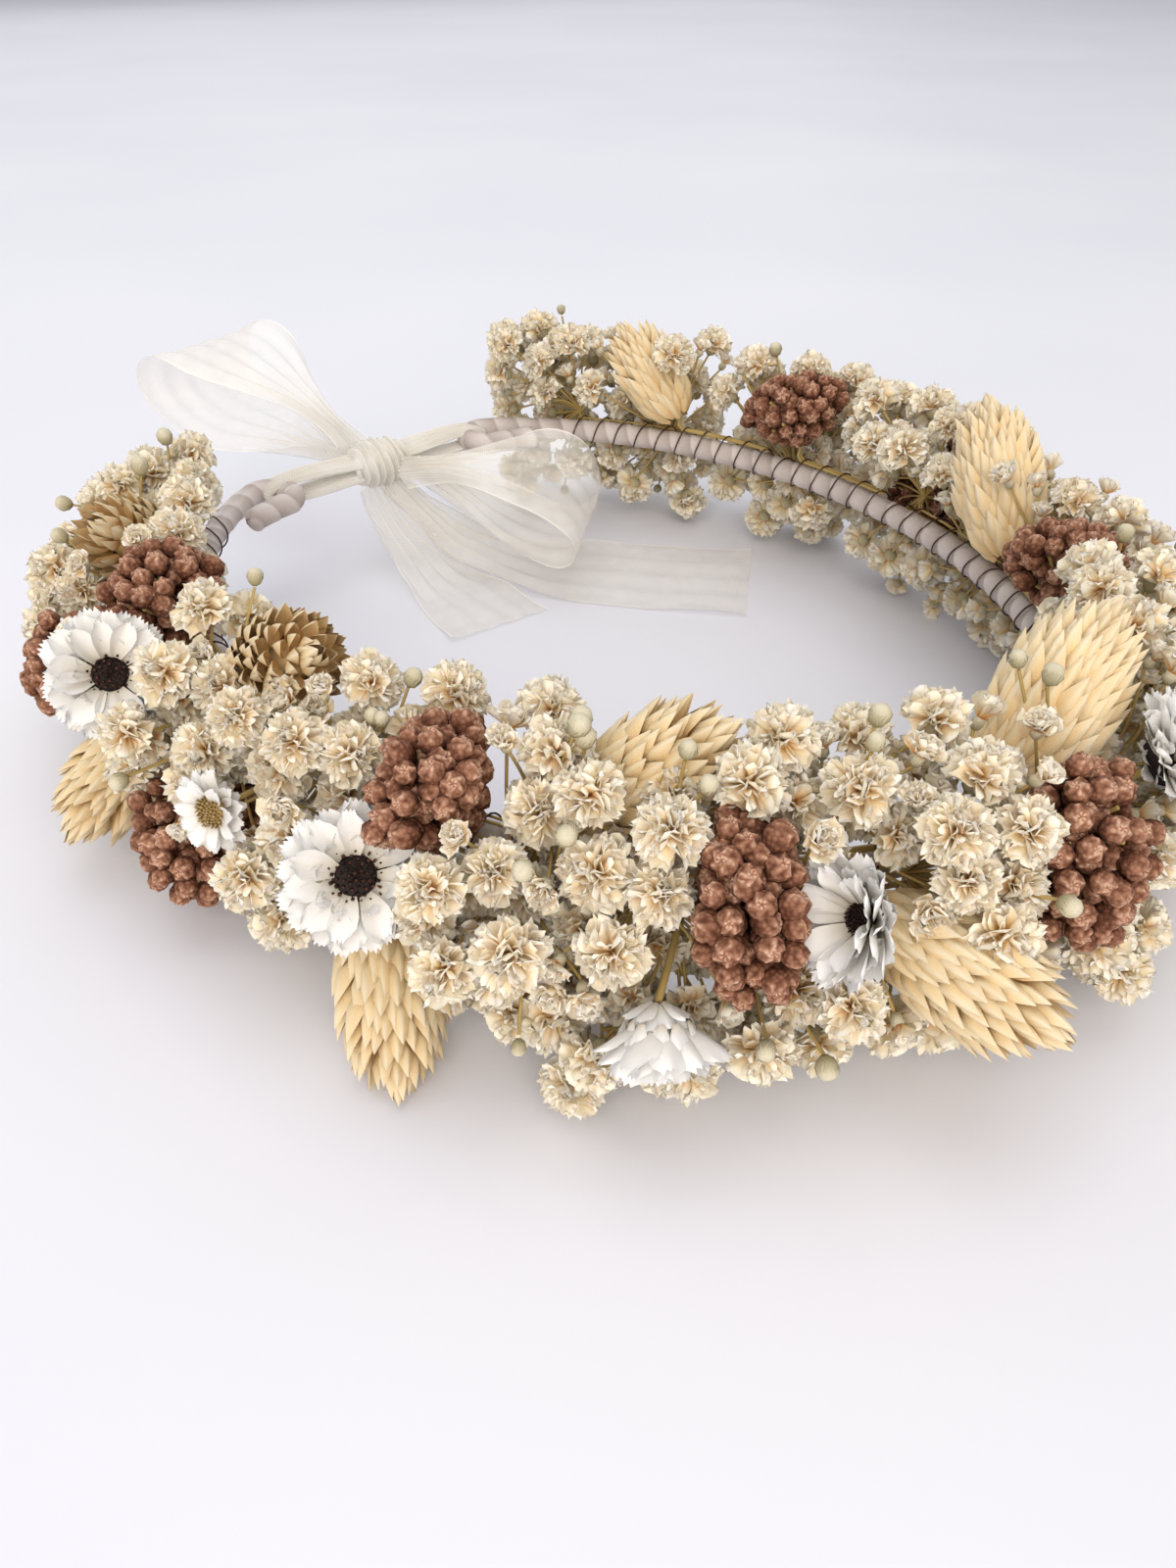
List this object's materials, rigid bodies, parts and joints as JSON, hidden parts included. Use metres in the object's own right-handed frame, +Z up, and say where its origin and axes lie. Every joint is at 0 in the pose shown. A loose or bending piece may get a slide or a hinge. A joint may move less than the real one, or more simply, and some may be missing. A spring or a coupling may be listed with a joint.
{
  "type": "flower crown",
  "caption": "Dried flower crown: white everlastings, baby's breath, canary grass and rice flower bound to a taped wire hoop, tied at the back with a sheer ivory bow.",
  "frame": {"origin": "on the surface the crown lies on, under the centre of the hoop", "axes": "+Z up, +Y towards the ribbon at the back of the head, +X to the wearer's right when the crown is seen from above with the back at the top"},
  "size_m": [0.2259, 0.2906, 0.059],
  "materials": {
    "hoop_wire": "dull drawn wire",
    "paper_tape": "matte crepe paper, wound on",
    "binding_wire": "dark brown lacquer",
    "organza": "sheer ivory weave",
    "phalaris": "dry papery bracts, satin",
    "rice_flower": "dry scaly buds, matte",
    "gypsophila": "dry crumpled petals, matte",
    "everlasting": "dry papery petals, satin",
    "daisy": "dry papery petals, satin"
  },
  "bodies": {
    "crown": {"binding_wire": "binding_wire", "daisy_1": "daisy", "everlasting_1": "everlasting", "everlasting_2": "everlasting", "everlasting_3": "everlasting", "everlasting_4": "everlasting", "everlasting_5": "everlasting", "everlasting_6": "everlasting", "gypsophila_1": "gypsophila", "gypsophila_10": "gypsophila", "gypsophila_11": "gypsophila", "gypsophila_12": "gypsophila", "gypsophila_13": "gypsophila", "gypsophila_14": "gypsophila", "gypsophila_15": "gypsophila", "gypsophila_16": "gypsophila", "gypsophila_17": "gypsophila", "gypsophila_18": "gypsophila", "gypsophila_19": "gypsophila", "gypsophila_2": "gypsophila", "gypsophila_20": "gypsophila", "gypsophila_21": "gypsophila", "gypsophila_22": "gypsophila", "gypsophila_23": "gypsophila", "gypsophila_24": "gypsophila", "gypsophila_3": "gypsophila", "gypsophila_4": "gypsophila", "gypsophila_5": "gypsophila", "gypsophila_6": "gypsophila", "gypsophila_7": "gypsophila", "gypsophila_8": "gypsophila", "gypsophila_9": "gypsophila", "hoop_tape": "paper_tape", "hoop_wire": "hoop_wire", "phalaris_1": "phalaris", "phalaris_10": "phalaris", "phalaris_2": "phalaris", "phalaris_3": "phalaris", "phalaris_4": "phalaris", "phalaris_5": "phalaris", "phalaris_6": "phalaris", "phalaris_7": "phalaris", "phalaris_8": "phalaris", "phalaris_9": "phalaris", "ribbon_tie_left": "organza", "ribbon_tie_right": "organza", "rice_flower_1": "rice_flower", "rice_flower_2": "rice_flower", "rice_flower_3": "rice_flower", "rice_flower_4": "rice_flower", "rice_flower_5": "rice_flower", "rice_flower_6": "rice_flower", "rice_flower_7": "rice_flower", "rice_flower_8": "rice_flower", "rice_flower_9": "rice_flower"},
    "bow": {"ribbon_knot": "organza", "ribbon_loop_left": "organza", "ribbon_loop_right": "organza"},
    "tail_left": {"ribbon_tail_left": "organza"},
    "tail_right": {"ribbon_tail_right": "organza"}
  },
  "joints": [
    {"name": "bow_swing", "type": "hinge", "parent": "crown", "child": "bow", "pos_m": [0, 0.08884, 0.026], "axis": [1, 0, 0], "range_deg": [-10, 15]},
    {"name": "tail_left_swing", "type": "hinge", "parent": "bow", "child": "tail_left", "pos_m": [0, 0.08884, 0.026], "axis": [1, 0, 0], "range_deg": [0, 65]},
    {"name": "tail_right_swing", "type": "hinge", "parent": "bow", "child": "tail_right", "pos_m": [0, 0.08884, 0.026], "axis": [1, 0, 0], "range_deg": [0, 65]}
  ]
}
